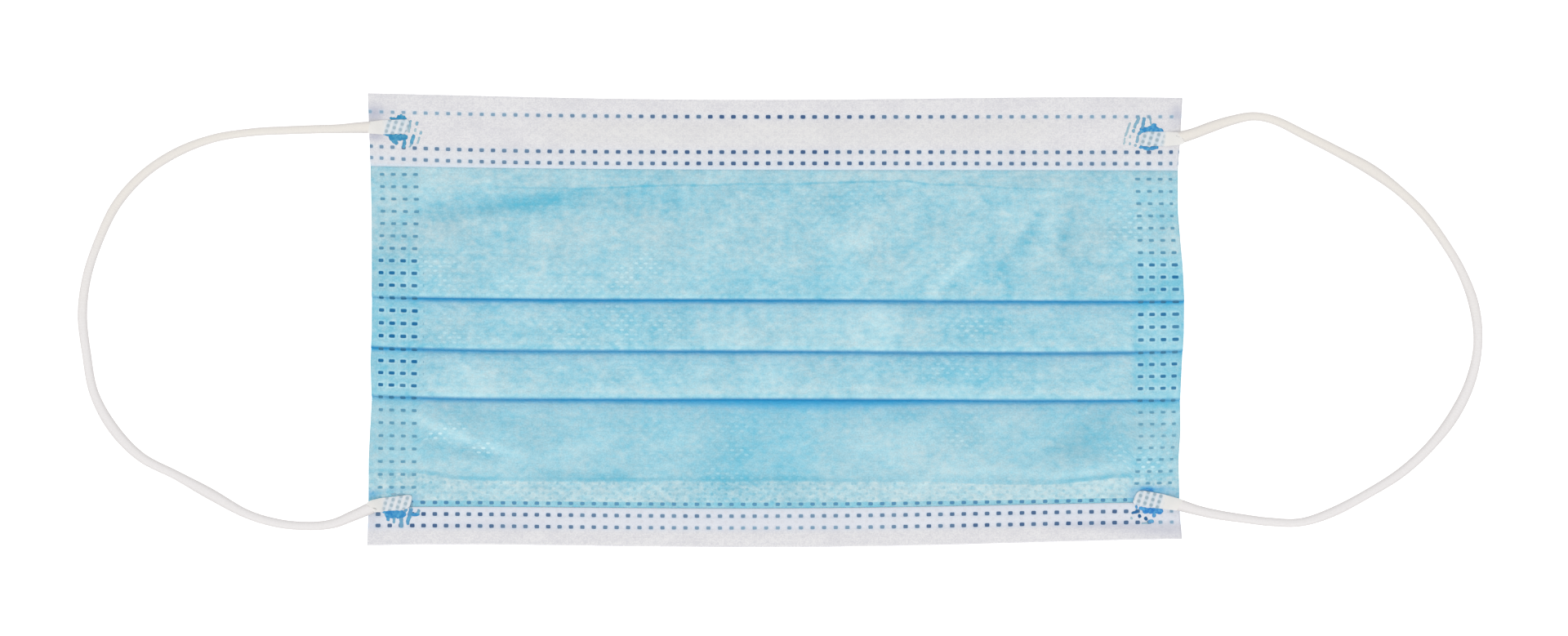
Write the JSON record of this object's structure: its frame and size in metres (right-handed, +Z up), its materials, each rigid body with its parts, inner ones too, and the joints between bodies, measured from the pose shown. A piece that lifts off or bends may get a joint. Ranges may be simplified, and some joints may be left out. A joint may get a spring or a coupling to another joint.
{
  "type": "surgical face mask",
  "caption": "Flat-folded pleated face mask with white bound edges, a nose wire and elastic ear loops spread out beside it.",
  "frame": {"origin": "on the surface that the mask lies on, under the middle of the mask body without its ear loops", "axes": "+X along the pleats from the left edge to the right edge as seen from the front, +Y towards the edge with the nose wire, +Z up out of the blue front"},
  "size_m": [0.3026, 0.0976, 0.0061],
  "materials": {
    "blue_nonwoven": "matte light blue spunbond nonwoven, white on the back",
    "white_nonwoven": "matte white spunbond nonwoven with rows of blue weld points",
    "white_elastic": "soft cream-white knitted elastic",
    "coated_wire": "matte white plastic over a soft steel wire"
  },
  "bodies": {
    "root": {"pleated_panel": "blue_nonwoven", "top_binding": "white_nonwoven", "bottom_binding": "white_nonwoven", "nose_wire": "coated_wire", "loop_end_top_left": "white_elastic", "loop_end_top_right": "white_elastic", "loop_end_bottom_left": "white_elastic", "loop_end_bottom_right": "white_elastic", "ear_loop_left": "white_elastic", "ear_loop_right": "white_elastic"}
  },
  "joints": []
}
